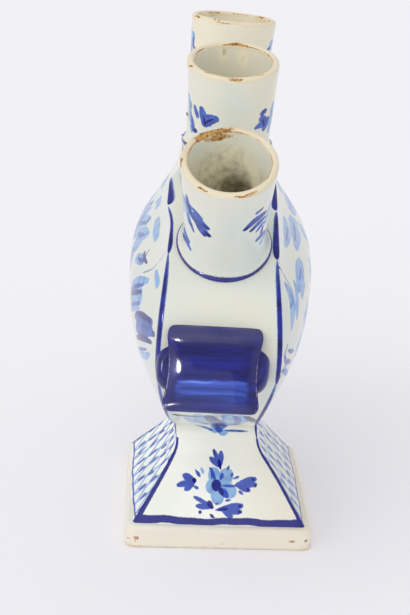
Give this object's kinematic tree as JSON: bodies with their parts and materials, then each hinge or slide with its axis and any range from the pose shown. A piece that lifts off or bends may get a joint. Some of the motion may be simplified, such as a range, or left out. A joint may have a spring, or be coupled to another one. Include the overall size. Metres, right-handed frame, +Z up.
{
  "type": "fan-shaped flower vase with spouts",
  "caption": "Flattened fan-shaped earthenware flower vase with a row of flared spouts over a hollow body, scroll lug handles and a flared square foot on a low plinth.",
  "frame": {"origin": "middle of the plinth's bottom face", "axes": "+X along the row of spouts, +Y through the thickness from the front face to the back face, +Z up"},
  "size_m": [0.2108, 0.0768, 0.2088],
  "materials": {
    "painted_glaze": "glossy ivory tin glaze painted in blue",
    "cobalt_glaze": "glossy dark cobalt glaze"
  },
  "bodies": {
    "root": {"front_panel": "painted_glaze", "back_panel": "painted_glaze", "shoulder_slab": "painted_glaze", "right_side_slab": "painted_glaze", "left_side_slab": "painted_glaze", "body_floor": "painted_glaze", "left_outer_spout": "painted_glaze", "left_inner_spout": "painted_glaze", "middle_spout": "painted_glaze", "right_inner_spout": "painted_glaze", "right_outer_spout": "painted_glaze", "left_outer_collar": "painted_glaze", "left_inner_collar": "painted_glaze", "middle_collar": "painted_glaze", "right_inner_collar": "painted_glaze", "right_outer_collar": "painted_glaze", "right_handle_strap": "cobalt_glaze", "left_handle_strap": "cobalt_glaze", "right_handle_roll": "cobalt_glaze", "left_handle_roll": "cobalt_glaze", "foot": "painted_glaze", "plinth": "painted_glaze"}
  },
  "joints": []
}
